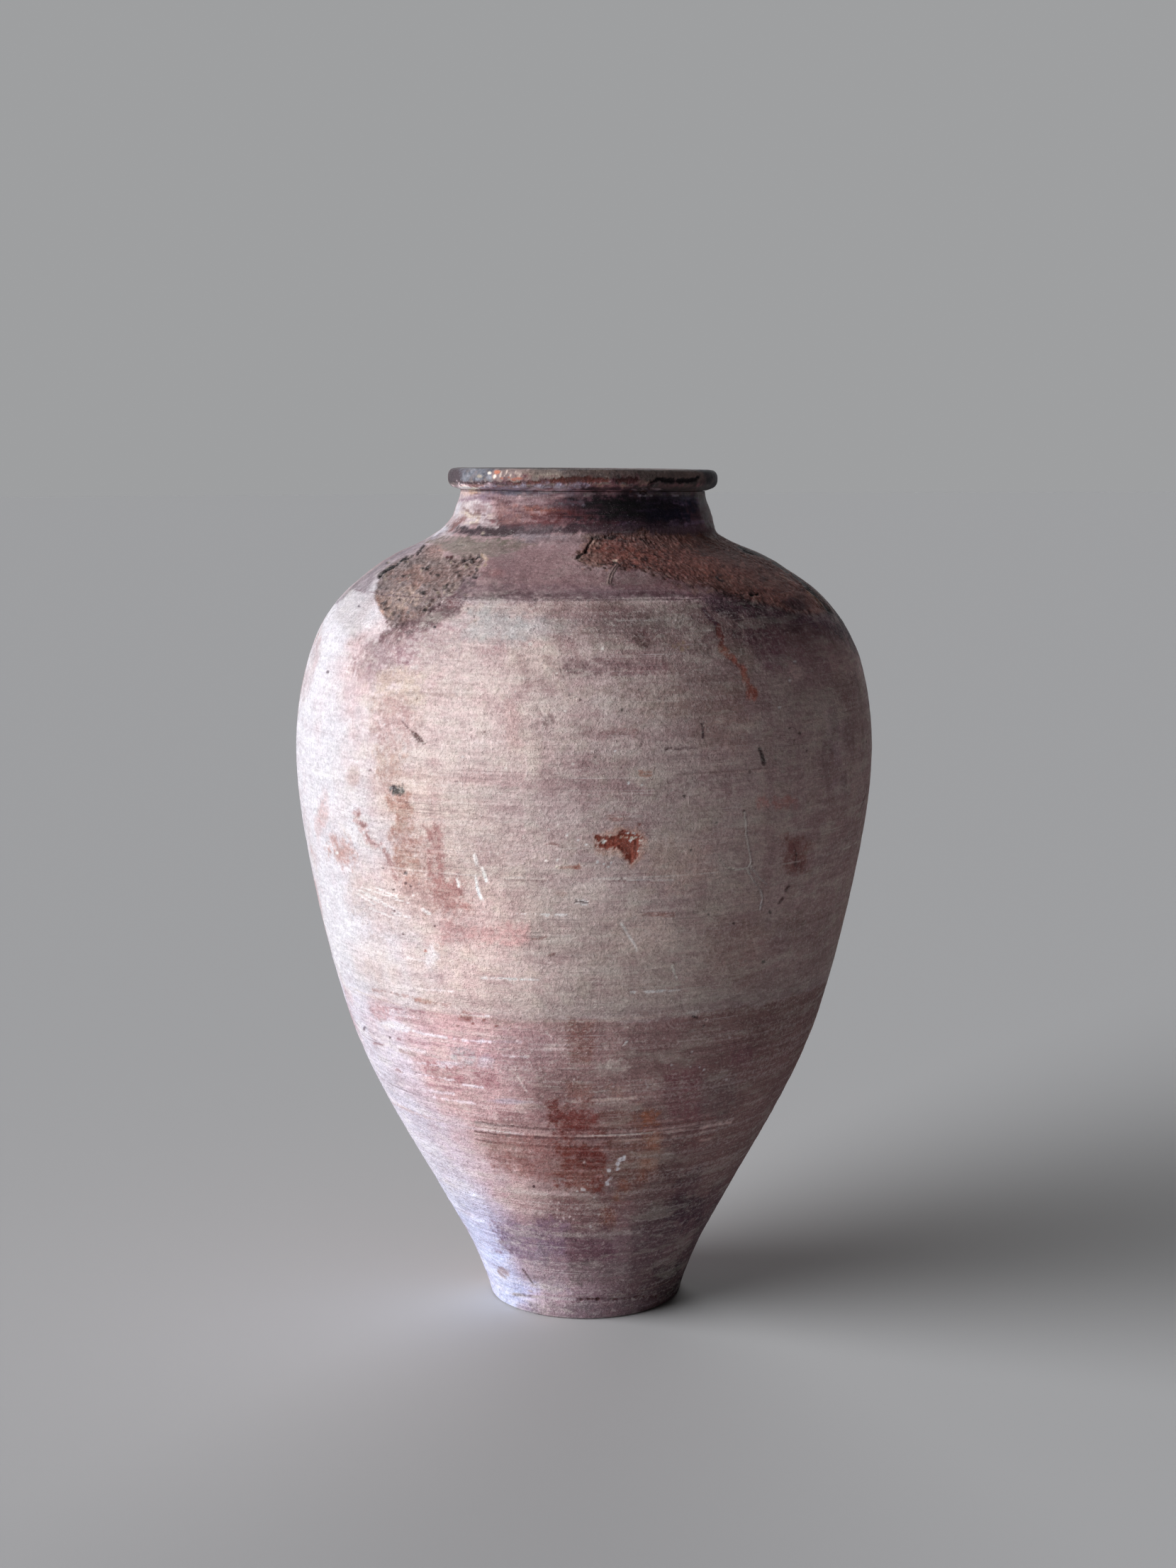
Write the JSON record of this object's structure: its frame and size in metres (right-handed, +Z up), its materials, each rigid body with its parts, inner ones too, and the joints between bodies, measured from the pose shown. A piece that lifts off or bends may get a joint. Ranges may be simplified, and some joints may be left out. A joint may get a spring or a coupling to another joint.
{
  "type": "olive jar",
  "caption": "Large unglazed terracotta olive jar with a swelling body, narrow foot, short neck and rolled rim, for garden display or storage.",
  "frame": {"origin": "middle of the resting face under the foot, on the floor", "axes": "+Z up along the jar's axis; -Y is the side that the picture shows, +X its right"},
  "size_m": [0.616, 0.616, 0.9],
  "materials": {
    "foot_clay": "unglazed, limed and worn",
    "body_clay": "unglazed, chalky bloom",
    "shoulder_clay": "unglazed, rough and flaked",
    "neck_clay": "unglazed, stained",
    "rim_clay": "unglazed, blackened",
    "slip": "fired slip, matt"
  },
  "bodies": {
    "root": {"base_slab": "foot_clay", "slip_ring_foot": "slip", "foot_section": "foot_clay", "slip_ring_lower": "slip", "lower_body_section": "body_clay", "slip_ring_waist": "slip", "waist_section": "body_clay", "slip_ring_belly": "slip", "belly_section": "body_clay", "slip_ring_upper": "slip", "upper_body_section": "body_clay", "slip_ring_shoulder": "slip", "shoulder_section": "shoulder_clay", "slip_ring_neck": "slip", "neck_collar": "neck_clay", "slip_ring_rim": "slip", "rim_roll": "rim_clay"}
  },
  "joints": []
}
